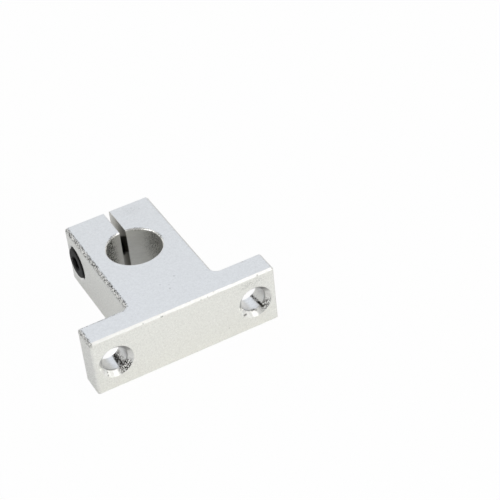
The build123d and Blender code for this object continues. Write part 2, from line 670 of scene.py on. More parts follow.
    def specks_and_shade(self, place: Array, block: "SupportBlock") -> Array:
        """A mask for the finish's dark specks, 0 to 1: torn metal, and painted shade.

        In the bore it rises towards both of its sides, and on the left side it is painted shade. On
        the right ear it is a faint cloud, over the right hole a faint cloud that is partly grain and
        partly painted shade, and on the walls at the left it is faint and even.

        Args:
            place: Points in millimetres.
            block: The block, for its sizes.

        Returns:
            The mask.
        """
        x, y, z = place.T
        angle = degrees(x, y)
        below_face = z < block.width - self.face_reach
        in_bore = below_face & (np.abs(np.hypot(x, y) - block.bore) < self.bore_reach)
        right = self.bore_right.at(angle) * smooth_step(*self.bore_right_span, z)
        along, across = self.ear_cloud
        cloud = (z > block.width - self.face_reach) * along.at(x) * across.at(y)
        along, across = self.hole_cloud
        cloud = cloud + (y < block.mounting_y + self.sunk_reach) * along.at(x) * across.at(z)
        on_stem = np.abs(x + block.half_stem) < self.wall_reach
        on_stem = on_stem & (y > block.base_back_y + self.fillet_reach)
        on_end = x < self.face_reach - block.half_base
        faint = self.left_stem * on_stem + self.left_end * on_end
        faint = faint * (z < block.width - self.chamfer_reach)
        return np.where(in_bore, np.maximum(right, self.bore_left_shade.at(angle)), cloud + faint)

    def painted_shade(self, place: Array, block: "SupportBlock") -> Array:
        """Painted shade on the slit's walls: darker near the bore, and round the screw's way.

        Each is a smooth step of a distance. On the right wall a painted shadow of the screw runs
        aslant from the bore, between two lines of the height plus a slope by the way along the slit.
        The wall of the counterbore is painted dark as shade, but for its mouth, and the bore's left
        side has painted shade.

        Args:
            place: Points in millimetres.
            block: The block, for its sizes.

        Returns:
            A share, 0 to 1, and 0 away from these walls.
        """
        x, y, z = place.T
        from_screw = np.hypot(y - block.screw_y, z - block.mid)
        slit = np.abs(np.abs(x) - block.slit) < self.skin_reach
        slit = slit & (y > block.bore - self.face_reach)
        slit = slit & (y < block.head_end_y - self.mouth_reach)
        # Painted shade, darker towards the bore and round the screw's way.
        near_bore = self.slit_shade * fall(*self.slit_shade_span, y)
        near_screw = fall(*self.screw_shade_span, from_screw)
        # The screw's painted shadow on the right wall.
        screw_shadow = (x > 0) * self.screw_shadow.at(z + self.screw_shadow_slope * y) * fall(*self.screw_shadow_span, y)
        # Painted shade on the counterbore's wall, but for its mouth.
        on_counterbore = np.abs(from_screw - block.counterbore) < self.wall_reach
        round_head = (x < self.counterbore_shade_end) & on_counterbore
        hollow_shade = self.hollow_shade * round_head * smooth_step(*self.counterbore_shade_span, x)
        in_bore = np.abs(np.hypot(x, y) - block.bore) < self.skin_reach
        # Painted shade on the bore's left side.
        hollow_shade = np.maximum(hollow_shade, in_bore * self.bore_shade.at(degrees(x, y)))
        return np.where(slit, np.maximum(np.maximum(near_bore, near_screw), screw_shadow), hollow_shade)

    def apply(self, made: bpy.types.Object, block: "SupportBlock") -> None:
        """Sinks the chips, nicks and torn places into a piece, along its normals.

        A chip's depth is its field by the edge's strength by how near the edge the point lies, and
        its darkness is painted shade. A nick is a bowl: its depth falls by the smooth step of the
        distance from its middle. Torn metal stands up and down by a random field. The painted shade
        of the slit, the counterbore, the bore and the holes joins the chips' darkness in one mask.

        Args:
            made: The piece, which also keeps the chips with their painted shade, the other painted
            shade and the torn places as the attributes that its finishes read.
            block: The block, for its sizes.
        """
        mesh = made.data
        place, normal = np.empty((2, len(mesh.vertices) * 3), dtype=np.float32)
        mesh.vertices.foreach_get("co", place)
        place = place.reshape(-1, 3).astype(float) / MM
        mesh.vertex_normals.foreach_get("vector", normal)
        normal = normal.reshape(-1, 3).astype(float)
        near = np.empty(len(mesh.vertices), dtype=np.float32)
        wear_and_shade = mesh.attributes["wear_and_shade"]
        wear_and_shade.data.foreach_get("value", near)
        # The chips sink into the metal; their darkness in the mask is painted shade.
        chips_and_shade = near * self.strength(place, block) * self.chips(place)
        depth = self.bite * chips_and_shade
        for nick in self.nicks:
            away = np.linalg.norm(place - np.array(nick.place), axis=1) / nick.radius
            bowl = fall(0.0, 1.0, away)
            depth = depth + nick.depth * bowl
            chips_and_shade = np.maximum(chips_and_shade, nick.dark * bowl)
        hole_shade, torn = self.in_holes(place, block)
        depth = depth + self.tear * torn * (grain(place, self.tear_grain, self.seed + 6) - 0.5)
        # The painted shade of the slit, counterbore, bore and holes joins the chips' darkness.
        chips_and_shade = np.maximum(chips_and_shade, np.maximum(self.painted_shade(place, block), hole_shade))
        # Specks, with painted shade on the bore's left side and above the right hole.
        torn = np.maximum(torn, self.specks_and_shade(place, block))
        place = place - normal * depth[:, None]
        mesh.vertices.foreach_set("co", (place * MM).astype(np.float32).ravel())
        wear_and_shade.data.foreach_set("value", np.clip(chips_and_shade, 0, 1).astype(np.float32))
        specks_and_shade = mesh.attributes.new("specks_and_shade", "FLOAT", "POINT")
        specks_and_shade.data.foreach_set("value", torn.astype(np.float32))
        mesh.update()


@dataclass
class SupportBlock:
    """The T-shaped block with its split bore, screw holes and broken edges.

    The edge depths are the depths inside a broad face at which its eased edges have points. An
    edge row is a line of points on the sides: how far inside the chamfers it lies, and at every
    how many columns it has a point. A face lattice is its spacing and the nearest and farthest
    that its points lie from the edge. The head side's strip is its middle, inwards from the
    stem's side, and half its width.
    """

    half_base: float = 21.0
    mounting_y: float = -23.0
    base_back_y: float = -17.0
    half_stem: float = 10.0
    head_end_y: float = 14.5
    width: float = 14.0
    corner: float = 0.55
    head_side_fillet: float = 1.2
    tapped_side_fillet: float = 1.6
    chamfer: float = 0.45
    bore: float = 6.0
    bore_rim: float = 0.27
    rim_cone: float = 0.8
    slit: float = 0.675
    slit_flare: float = 0.1
    mounting_x: float = 16.0
    mounting_hole: float = 2.83
    front_sink: float = 1.02
    back_sink: float = 1.02
    chatter: float = 0.018
    chatter_waves: int = 17
    chatter_twist: float = 3.0
    screw_y: float = 10.25
    counterbore: float = 3.75
    counterbore_rim: float = 0.4
    counterbore_start: float = -9.3
    counterbore_floor: float = -6.25
    floor_rings: Pair = (3.3, 2.8)
    shank_way: float = 2.25
    tapped: float = 2.0
    tapped_rim: float = 0.5
    thread_pitch: float = 0.7
    thread_depth: float = 0.16
    thread: Hill = Hill((6.9, 7.3), (9.75, 9.95))
    marks_and_shade: EdgeWearAndShade = field(default_factory=EdgeWearAndShade)
    sharp_degrees: float = 28.0

    step: float = 0.14
    worn_step: float = 0.08
    fewest_steps: int = 10
    edge_depths: tuple[float, ...] = (0.38, 0.31, 0.24, 0.17, 0.1, 0.05, 0.02, 0.005, 0.0)
    edge_rows: tuple[tuple[float, int], ...] = (
        (0.08, 1), (0.17, 1), (0.28, 1), (0.42, 1), (0.6, 2), (0.82, 2), (1.1, 4),
    )
    side_rows: int = 11
    side_margin: float = 1.6
    side_lattice: float = 1.0
    side_lattice_margin: float = 1.3
    side_wear_and_shade_span: Pair = (0.1, 0.85)
    bore_rows: int = 33
    fine_lattice: float = 0.09
    fine_reach: Pair = (0.05, 0.5)
    fine_apart: float = 0.11
    fine_wear_and_shade_span: Pair = (0.08, 0.42)
    face_wear_and_shade_span: Pair = (0.0, 0.3)
    head_side_strip: Pair = (0.45, 0.75)
    base_end_strip: float = 1.0
    face_lattices: tuple[Triple, ...] = ((0.16, 0.09, 0.5), (0.4, 0.5, 1.2), (1.3, 1.2, 99.0))
    slit_lattice: float = 0.3
    slit_apart: float = 0.2
    bowl_apart: float = 0.1
    rim_apart: float = 0.15
    column_apart: float = 0.05
    slit_wear_and_shade: float = 0.6
    rim_wear_and_shade: float = 0.7
    bowl_rings: Triple = (0.3, 0.6, 1.0)
    bowl_columns: int = 12
    hole_columns: int = 180
    hole_rows: tuple[float, ...] = (0.06, 0.14, 0.24, 0.36, 0.5)
    hole_counts: tuple[int, int, int] = (12, 22, 6)
    way_counts: tuple[int, int] = (8, 12)
    tapped_counts: tuple[int, int, int] = (6, 38, 9)
    counterbore_columns: int = 112
    tapped_columns: int = 96

    def __post_init__(self) -> None:
        """Works out the outline and the rows that neighbouring patches share."""
        self.mid = self.width / 2
        self.chamfer_depths = self.depths(self.chamfer)
        self.rim_depths = self.depths(self.bore_rim)
        self.flare_depths = self.depths(self.slit_flare)
        self.wall, self.normal, self.along, self.bent = self.outline()
        low, high = self.chamfer, self.width - self.chamfer
        edge = np.array([0.0, *(depth for depth, _ in self.edge_rows)])
        between = np.linspace(low + self.side_margin, high - self.side_margin, self.side_rows)
        self.wall_heights = np.concatenate([low + edge, between, high - edge[::-1]])
        self.bore_heights = np.linspace(self.bore_rim, self.width - self.bore_rim, self.bore_rows)

    def depths(self, size: float) -> tuple[float, ...]:
        """The depths inside a broad face at which an eased edge of this size has points."""
        return (size, *(depth for depth in self.edge_depths if depth < size))

    def outline(self) -> tuple[Array, Array, Array, Array]:
        """The T-shaped outline, from the slit's left lip round to its right one.

        It is a chain of lines and arcs, each divided evenly, and finely along the chipped left
        edges: a line runs from one end to the other, an arc is its middle plus the radius times
        the cosine and sine of its angle. An inner corner's arc bulges inwards, so its outward
        normal points at its middle.

        Returns:
            Points, outward normals, lengths along the outline, and True where it bends.
        """
        w, s, r = self.half_base, self.half_stem, self.corner
        low, back, top = self.mounting_y, self.base_back_y, self.head_end_y
        f, g = self.head_side_fillet, self.tapped_side_fillet
        fine, plain = self.worn_step, self.step
        runs = [
            ((-self.slit, top), (-s + r, top), None, plain),
            ((-s + r, top - r), (90, 180), r, fine),
            ((-s, top - r), (-s, back + f), None, fine),
            ((-s - f, back + f), (0, -90), -f, fine),
            ((-s - f, back), (-w + r, back), None, fine),
            ((-w + r, back - r), (90, 180), r, fine),
            ((-w, back - r), (-w, low + r), None, fine),
            ((-w + r, low + r), (180, 270), r, plain),
            ((-w + r, low), (w - r, low), None, plain),
            ((w - r, low + r), (270, 360), r, plain),
            ((w, low + r), (w, back - r), None, plain),
            ((w - r, back - r), (0, 90), r, plain),
            ((w - r, back), (s + g, back), None, plain),
            ((s + g, back + g), (270, 180), -g, plain),
            ((s, back + g), (s, top - r), None, plain),
            ((s - r, top - r), (0, 90), r, plain),
            ((s - r, top), (self.slit, top), None, plain),
        ]
        points, normals, lengths, bent, done = [], [], [], [], 0.0
        for start, end, radius, step in runs:
            start, end = np.array(start, dtype=float), np.array(end, dtype=float)
            straight = radius is None
            size = float(np.hypot(*(end - start))) if straight else abs(radius) * math.pi / 2
            count = max(self.fewest_steps, math.ceil(size / step))
            t = np.arange(count)[:, None] / count
            if straight:
                along = (end - start) / size
                points.append(start + t * (end - start))
                normals.append(np.broadcast_to([along[1], -along[0]], (count, 2)))
            else:
                ray = unit_circle(np.radians(end[0] + t[:, 0] * (end[1] - end[0])))
                points.append(start + abs(radius) * ray)
                normals.append(ray * math.copysign(1, radius))
            lengths.append(done + t[:, 0] * size)
            bent.append(np.full(count, not straight))
            bent[-1][0] = True
            done += size
        points.append(np.array([[self.slit, top]]))
        normals.append(np.array([[0.0, 1.0]]))
        lengths.append(np.array([done]))
        bent.append(np.array([True]))
        return tuple(np.concatenate(parts) for parts in (points, normals, lengths, bent))

    def level(self, depth: float, upper: bool) -> float:
        """The height that lies a depth inside the upper or the lower broad face."""
        return self.width - depth if upper else depth

    def eased(self, size: float, depth: float) -> float:
        """How far a rounded edge has drawn back at a depth: a quarter circle of this size."""
        left = max(0.0, size - depth)
        return size - math.sqrt(size ** 2 - left ** 2)

    def lip(self, depth: float) -> float:
        """Half the slit's width at a depth inside a broad face, rounded at the very edge."""
        return self.slit + self.eased(self.slit_flare, depth)

    def rim(self, depth: float) -> float:
        """The bore's radius at a depth inside a broad face, coned and a little rounded."""
        coned, rounded = max(0.0, self.bore_rim - depth), self.eased(self.bore_rim, depth)
        return self.bore + self.rim_cone * coned + (1 - self.rim_cone) * rounded

    def outline_at(self, depth: float) -> Array:
        """The outline at a depth inside a broad face, drawn in by the chamfer there.

        Each point moves inwards along its normal, and the two end sides are stretched so that
        their ends stay on the slit's flare.

        Args:
            depth: The depth, up to the chamfer's size.

        Returns:
            Points in the plane.
        """
        points = self.wall - self.normal * max(0.0, self.chamfer - depth)
        reach = self.half_stem - self.corner
        share = np.clip((reach - np.abs(self.wall[:, 0])) / (reach - self.slit), 0, 1)
        share = np.where(self.wall[:, 1] >= self.head_end_y - 1e-9, share, 0.0)
        points[:, 0] += np.sign(points[:, 0]) * share * (self.lip(depth) - self.slit)
        return points

    def slit_at(self, depth: float) -> Array:
        """The slit's right edge at a depth inside a broad face, from its mouth to the bore.

        Args:
            depth: The depth, up to the flare's size.

        Returns:
            Points in the plane, evenly spaced on a line.
        """
        lip = self.lip(depth)
        mouth = self.head_end_y - max(0.0, self.chamfer - depth)
        inner = math.sqrt(self.rim(depth) ** 2 - lip ** 2)
        count = math.ceil((self.head_end_y - self.bore) / self.step)
        return np.stack([np.full(count + 1, lip), np.linspace(mouth, inner, count + 1)], axis=1)

    def bore_at(self, depth: float) -> Array:
        """The bore's edge at a depth inside a broad face, from the slit's right to its left.

        The points lie on a circle, at even angles clockwise between the slit's two walls.

        Args:
            depth: The depth, up to the rim's size.

        Returns:
            Points in the plane.
        """
        radius = self.rim(depth)
        start = math.acos(self.lip(depth) / radius)
        count = math.ceil(TURN * self.bore / self.step)
        return radius * unit_circle(np.linspace(start, math.pi - start - TURN, count + 1))

    def add_chamfers(self, skin: Skin, upper: bool) -> None:
        """Adds the sloping strips round a broad face: outline, both slit edges and bore rim.

        Each strip is a grid of the depths inside the face by the points along the edge.

        Args:
            skin: The surface to add to.
            upper: Whether it is the upper broad face.
        """
        def strip(path: Callable[[float], Array], depths: tuple[float, ...]) -> Array:
            """The path at each depth, lifted to its height."""
            return np.stack([at_height(path(depth), self.level(depth, upper)) for depth in depths])

        skin.add_grid(strip(self.outline_at, self.chamfer_depths), Cut.CHAMFER, 1.0)
        right = strip(self.slit_at, self.flare_depths)
        skin.add_grid(right, Cut.CHAMFER, self.slit_wear_and_shade)
        skin.add_grid(right * np.array([-1, 1, 1]), Cut.CHAMFER, self.slit_wear_and_shade)
        skin.add_grid(strip(self.bore_at, self.rim_depths), Cut.RIM, self.rim_wear_and_shade)

    def add_broad_faces(self, skin: Skin) -> None:
        """Adds both broad faces, filled between their edge and lattices that widen inwards.

        The finest lattice lies along the chipped edges alone.

        Args:
            skin: The surface to add to.
        """
        right = self.slit_at(0.0)
        left = (right * np.array([-1, 1]))[::-1]
        parts = [self.outline_at(0.0)[:-1], right[:-1], self.bore_at(0.0)[:-1], left[:-1]]
        loop = np.concatenate(parts)
        low, high = (-self.half_base, self.mounting_y), (self.half_base, self.head_end_y)

        def band(points: Array, near: float, far: float) -> tuple[Array, Array]:
            """The points inside the loop whose distance from it lies in a range, and it."""
            points = points[within(points, loop)]
            gap = clearance(points, loop)
            keep = (gap > near) & (gap <= far)
            return points[keep], gap[keep]

        points = lattice(low, high, self.fine_lattice)
        x, y = points.T
        middle, half = self.head_side_strip
        head_side = (np.abs(x + self.half_stem - middle) < half) & (y > self.base_back_y)
        base_end = (x < self.base_end_strip - self.half_base) & (y < self.base_back_y)
        fine, gap = band(points[head_side | base_end], *self.fine_reach)
        inner = [(fine, fall(*self.fine_wear_and_shade_span, gap))]
        for spacing, near, far in self.face_lattices:
            points, gap = band(lattice(low, high, spacing), near, far)
            apart = clearance(points, fine) > self.fine_apart
            inner.append((points[apart], fall(*self.face_wear_and_shade_span, gap[apart])))
        for nick in self.marks_and_shade.nicks:
            if nick.place[2] > self.width - 0.02:
                bowl = self.bowl(nick.place[0], nick.place[1], nick.radius)
                inner.append((bowl, np.zeros(len(bowl))))
        for upper in (True, False):
            height = self.level(0.0, upper)
            flat = Flat()
            flat.add_ring(loop, at_height(loop, height), 1.0)
            for points, wear_and_shade in inner:
                flat.add(points, at_height(points, height), wear_and_shade)
            skin.add_flat(flat, Cut.BROAD_FACE)

    def bowl(self, x: float, y: float, radius: float) -> Array:
        """Rings of points round a middle, and the middle, for a nick to sink into."""
        circle = unit_circle(even_turns(self.bowl_columns))
        rings = [np.array([x, y]) + radius * share * circle for share in self.bowl_rings]
        return np.concatenate([*rings, np.array([[x, y]])])

    def on_wall(self, along: Array) -> Array:
        """Places on the outline, found from the length along it."""
        return np.column_stack([np.interp(along, self.along, self.wall[:, axis]) for axis in (0, 1)])

    def corner_depth(self, y: Array) -> Array:
        """How far the head end's rounded corner falls back from the stem's side at each Y."""
        rise = np.clip(y - (self.head_end_y - self.corner), 0, self.corner)
        return self.corner - np.sqrt(self.corner ** 2 - rise ** 2)

    def cone_reach(self, y: Array) -> Array:
        """The radius of the counterbore's cone where it meets the outline at each Y."""
        return self.counterbore + np.clip(self.counterbore_rim - self.corner_depth(y), 0, None)

    def length_to(self, x: float, y: float) -> float:
        """The length along the outline of the point of it that lies nearest to a place."""
        return float(self.along[np.argmin(np.hypot(self.wall[:, 0] - x, self.wall[:, 1] - y))])

    def on_mounting_face(self, x: float | Array) -> float | Array:
        """The length along the outline of places on the mounting face, from their X."""
        start = self.corner - self.half_base
        return self.length_to(start, self.mounting_y) + x - start

    def unrolled(self, ring: Array) -> Array:
        """A hole's rim in the unrolled side: the length along the outline, by the height.

        On a straight side the length is that of the side's start plus the way from it. On the
        left head corner it is the radius times the angle from the end face.

        Args:
            ring: The rim in space, on the stem's sides or corner or on the base's long faces.

        Returns:
            The rim in the unrolled plane.
        """
        x, y = ring[:, 0], ring[:, 1]
        s, r = self.half_stem, self.corner
        back, corner_y = self.base_back_y, self.head_end_y - r
        if np.allclose(y, self.mounting_y):
            length = self.on_mounting_face(x)
        elif np.allclose(y, back):
            start = -s - self.head_side_fillet if x.mean() < 0 else self.half_base - r
            length = self.length_to(start, back) + start - x
        elif x.mean() > 0:
            length = self.length_to(s, corner_y) + y - corner_y
        else:
            over = y - corner_y
            bend = r * (math.pi / 2 - np.arcsin(np.clip(over / r, 0, 1)))
            length = self.length_to(-s + r, self.head_end_y) + bend + np.clip(-over, 0, None)
        return np.column_stack([length, ring[:, 2]])

    def counterbore_ring(self) -> Array:
        """The counterbore's rim, where its cone meets the stem's side and rounded corner.

        On the flat side it is a circle. On the corner it has a point above and below on each of
        the outline's columns that it crosses, at the radius that the cone has at their depth.

        Returns:
            Points in space, in order round the screw's axis.
        """
        corner_y = self.head_end_y - self.corner
        wide = self.counterbore + self.counterbore_rim
        circle = self.screw_ring(-self.half_stem, wide, even_turns(self.counterbore_columns))
        flat = circle[circle[:, 1] < corner_y - 0.05]
        x, y = self.wall.T
        column = y[(x < -5) & (y > corner_y - 1e-9) & (y < self.head_end_y - 0.02)]
        column = column[self.cone_reach(column) - (column - self.screw_y) > 0.02]
        reach = np.sqrt(self.cone_reach(column) ** 2 - (column - self.screw_y) ** 2)
        x = self.corner_depth(column) - self.half_stem
        above_below = [np.column_stack([x, column, self.mid + sign * reach]) for sign in (-1, 1)]
        span = np.linspace(corner_y, self.head_end_y, 2000)
        tip_y = np.interp([0.0], span - self.screw_y - self.cone_reach(span), span)
        tip = np.column_stack([self.corner_depth(tip_y) - self.half_stem, tip_y, [self.mid]])
        ring = np.concatenate([flat, *above_below, tip])
        return ring[np.argsort(np.arctan2(ring[:, 2] - self.mid, ring[:, 1] - self.screw_y))]

    def screw_ring(self, x: float | Array, radius: float | Array, turn: Array) -> Array:
        """Points round the clamp screw's axis at some angles."""
        return round_axis(x, radius, turn, (self.screw_y, self.mid))

    def add_side(self, skin: Skin, rings: list[Array]) -> None:
        """Adds the side all round the outline, filled in its unrolled plane.

        The plane is the length along the outline by the height. Where the outline bends, each
        of its columns is kept as an upright line, so that the fill follows the bend.

        Args:
            skin: The surface to add to.
            rings: Rims of the holes in it, in space.
        """
        flat = Flat()
        heights, along, last = self.wall_heights, self.along, len(self.along) - 1
        low, high, between = heights[0], heights[-1], len(heights) - 2

        def lift(plane: Array) -> Array:
            """Puts points of the unrolled plane back on the outline."""
            return np.column_stack([self.on_wall(plane[:, 0]), plane[:, 1]])

        outer = np.concatenate([
            at_height(along, low),
            np.column_stack([np.full(between, along[-1]), heights[1:-1]]),
            at_height(along[::-1], high),
            np.column_stack([np.full(between, along[0]), heights[-2:0:-1]]),
        ])
        wear_and_shade = np.concatenate([np.ones(last + 1), np.zeros(between)] * 2)
        flat.add_ring(outer, lift(outer), wear_and_shade)
        rims = [self.unrolled(ring) for ring in rings]
        for rim, ring in zip(rims, rings):
            flat.add_ring(rim, ring, self.rim_wear_and_shade, hole=True)
        for column in np.flatnonzero(self.bent)[1:-1]:
            ends = int(column), 2 * last + between + 1 - int(column)
            self.add_column(flat, along[column], rims, ends)
        margin = self.side_lattice_margin
        inner = lattice((along[0], low + margin), (along[-1], high - margin), self.side_lattice)
        inner = inner[np.interp(inner[:, 0], along, self.bent.astype(float)) < 1e-6]
        straight = along[~self.bent]
        for offset, every in self.edge_rows:
            rows = [at_height(straight[::every], row) for row in (low + offset, high - offset)]
            inner = np.concatenate([inner, *rows])
        for nick in self.marks_and_shade.nicks:
            x, y, z = nick.place
            if y < self.mounting_y + 0.01:
                bowl = self.bowl(self.on_mounting_face(x), z, nick.radius)
                inner = inner[clearance(inner, bowl) > self.bowl_apart]
                inner = np.concatenate([inner, bowl])
        for rim in rims:
            inner = inner[~within(inner, rim)]
        inner = inner[clearance(inner, np.concatenate(rims)) > self.rim_apart]
        gap = np.minimum(inner[:, 1] - low, high - inner[:, 1])
        flat.add(inner, lift(inner), fall(*self.side_wear_and_shade_span, gap))
        skin.add_flat(flat, Cut.SIDE)

    def add_column(
        self, flat: Flat, length: float, rims: list[Array], ends: tuple[int, int]
    ) -> None:
        """Adds an upright line of a bend, broken where a hole's rim crosses it.

        Args:
            flat: The unrolled side.
            length: The column's length along the outline.
            rims: The holes' rims in the unrolled plane.
            ends: The numbers of the column's lowest and highest points.
        """
        bottom, top = ends
        heights = self.wall_heights[1:-1]
        crossed = []
        for (start, _), rim in zip(flat.holes, rims):
            hits = np.flatnonzero(np.abs(rim[:, 0] - length) < 1e-6)
            crossed += [(float(rim[hit, 1]), start + int(hit)) for hit in hits]
        crossed.sort()
        parts = [(bottom, heights, top)]
        if len(crossed) == 2:
            (lower, first), (upper, second) = crossed
            below = heights[heights < lower - self.column_apart]
            above = heights[heights > upper + self.column_apart]
            parts = [(bottom, below, first), (second, above, top)]
        for start, levels, end in parts:
            plane = np.column_stack([np.full(len(levels), length), levels])
            space = np.column_stack([self.on_wall(plane[:, 0]), levels])
            gap = np.minimum(levels - self.wall_heights[0], self.wall_heights[-1] - levels)
            first = flat.add(plane, space, fall(*self.side_wear_and_shade_span, gap))
            chain = np.array([start, *range(first, first + len(levels)), end])
            flat.edges.append(np.stack([chain[:-1], chain[1:]], axis=1))

    def add_slit_wall(self, skin: Skin, side: int, ring: Array) -> None:
        """Adds one wall of the slit, a flat patch in Y and Z with the screw's hole in it.

        Args:
            skin: The surface to add to.
            side: -1 for the left wall, 1 for the right one.
            ring: The screw hole's rim, in space.
        """
        flare, slit, width = self.slit_flare, self.slit, self.width
        mouth = np.column_stack([np.full(len(self.wall_heights), self.head_end_y), self.wall_heights])
        cut = [d for d in self.chamfer_depths if flare <= d < self.chamfer]
        chamfered = [[self.head_end_y - (self.chamfer - d), width - d] for d in cut]
        edge = at_height(self.slit_at(flare)[1:, 1], width - flare)
        coned = [d for d in self.rim_depths[::-1] if flare < d < self.bore_rim]
        rim = [[math.sqrt(self.rim(d) ** 2 - slit ** 2), width - d] for d in coned]
        upper = np.concatenate([chamfered, edge, rim])
        inner_y = math.sqrt(self.bore ** 2 - slit ** 2)
        bore = np.column_stack([np.full(len(self.bore_heights), inner_y), self.bore_heights[::-1]])
        lower = upper[::-1] * np.array([1, -1]) + np.array([0, width])
        loop = np.concatenate([mouth, upper, bore, lower])

        def lift(plane: Array) -> Array:
            """Puts points of the patch on the slit's wall."""
            return np.column_stack([np.full(len(plane), side * slit), plane])

        flat = Flat()
        flat.add_ring(loop, lift(loop))
        flat.add_ring(ring[:, 1:], ring, hole=True)
        apart = self.slit_apart
        points = lattice((inner_y, apart), (self.head_end_y, width - apart), self.slit_lattice)
        points = points[within(points, loop) & ~within(points, ring[:, 1:])]
        points = points[clearance(points, np.concatenate([loop, ring[:, 1:]])) > apart]
        flat.add(points, lift(points))
        skin.add_flat(flat, Cut.SLIT)

    def add_bore(self, skin: Skin) -> None:
        """Adds the bore's wall, a grid of the heights by the points of its circle."""
        circle = self.bore_at(self.bore_rim)
        skin.add_grid(np.stack([at_height(circle, height) for height in self.bore_heights]), Cut.BORE)

    def add_mounting_hole(self, skin: Skin, side: int) -> list[Array]:
        """Adds a mounting hole: drilled wall, sunk from both sides, as rings along Y.

        The drill's chatter ripples the cone: its radius gains a little by the sine of
        seventeen times the angle.

        Args:
            skin: The surface to add to.
            side: -1 for the left hole, 1 for the right one.

        Returns:
            Its rims on the mounting face and on the base's back.
        """
        front, back = self.mounting_y, self.base_back_y
        start, end = front + self.front_sink, back - self.back_sink
        close = start + np.array(self.hole_rows)
        sunk, drilled, beyond = self.hole_counts
        y = np.concatenate([
            np.linspace(front, start, sunk), close,
            np.linspace(close[-1], end, drilled)[1:], np.linspace(end, back, beyond)[1:],
        ])[:, None]
        turn = even_turns(self.hole_columns)
        radius = self.mounting_hole + np.clip(start - y, 0, None) + np.clip(y - end, 0, None)
        ripple = np.where((y > front) & (y < start), self.chatter, 0.0)
        radius = radius + ripple * np.sin(self.chatter_waves * turn + self.chatter_twist * (y - front))
        x, z = side * self.mounting_x + radius * np.cos(turn), self.mid + radius * np.sin(turn)
        grid = np.stack([x, np.broadcast_to(y, radius.shape), z], axis=2)
        skin.add_grid(grid, Cut.HOLE, ring=True)
        return [grid[0], grid[-1]]

    def add_head_side_way(self, skin: Skin) -> tuple[Array, Array]:
        """Adds the counterbore and the clearance hole, as rings along X from one rim.

        Args:
            skin: The surface to add to.

        Returns:
            The rims on the stem's side and in the slit.
        """
        rim = self.counterbore_ring()
        turn = np.arctan2(rim[:, 2] - self.mid, rim[:, 1] - self.screw_y)
        wide, way, floor = self.counterbore, self.shank_way, self.counterbore_floor
        cone = self.screw_ring(
            np.maximum(self.counterbore_rim - self.half_stem, rim[:, 0] + 0.02), wide, turn)
        skin.add_grid(np.stack([rim, (rim + cone) / 2, cone]), Cut.CHAMFER, ring=True)
        bored, drilled = self.way_counts
        places = [(x, wide) for x in np.linspace(self.counterbore_start, floor, bored)]
        places += [(floor, radius) for radius in (*self.floor_rings, way)]
        places += [(x, way) for x in np.linspace(floor, -self.slit, drilled)[1:]]
        rows = [cone, *(self.screw_ring(x, radius, turn) for x, radius in places)]
        skin.add_grid(np.stack(rows), Cut.HOLE, ring=True)
        return rim, rows[-1]

    def add_tapped_way(self, skin: Skin) -> tuple[Array, Array]:
        """Adds the tapped hole: coned mouth, the thread's first turns and the plain rest.

        The thread's radius gains by a triangle wave of the length less the turn's share, so
        that its grooves wind round the axis.

        Args:
            skin: The surface to add to.

        Returns:
            The rims on the stem's side and in the slit.
        """
        turn = even_turns(self.tapped_columns)
        mouth, plain = self.half_stem - self.tapped_rim, self.thread.rise[0]
        coned, threaded, rest = self.tapped_counts
        x = np.concatenate([
            np.linspace(self.half_stem, mouth, coned), np.linspace(mouth, plain, threaded)[1:],
            np.linspace(plain, self.slit, rest)[1:],
        ])
        wave = 1 - np.abs(2 * ((x[:, None] / self.thread_pitch - turn / TURN) % 1.0) - 1)
        groove = self.thread_depth * self.thread.at(x)[:, None] * wave
        radius = self.tapped + np.clip(x - mouth, 0, None)[:, None] + groove
        grid = np.stack([self.screw_ring(place, ring, turn) for place, ring in zip(x, radius)])
        skin.add_grid(grid, Cut.HOLE, ring=True)
        return grid[0], grid[-1]

    def build(self, materials: list[bpy.types.Material]) -> bpy.types.Object:
        """Builds the block's surface, wears its edges, paints shade into it and hands it to its body.

        Args:
            materials: Its finishes, in the order of the cuts.

        Returns:
            The piece.
        """
        skin = Skin()
        rings = [*self.add_mounting_hole(skin, -1), *self.add_mounting_hole(skin, 1)]
        head_rim, head_inner = self.add_head_side_way(skin)
        tapped_rim, tapped_inner = self.add_tapped_way(skin)
        self.add_side(skin, [*rings, head_rim, tapped_rim])
        self.add_slit_wall(skin, -1, head_inner)
        self.add_slit_wall(skin, 1, tapped_inner)
        self.add_broad_faces(skin)
        self.add_bore(skin)
        self.add_chamfers(skin, True)
        self.add_chamfers(skin, False)
        made = skin.piece("finished_block", materials)
        self.marks_and_shade.apply(made, self)
        shade(made, self.sharp_degrees)
        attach(made, "block")
        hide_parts("support_block")
        return made


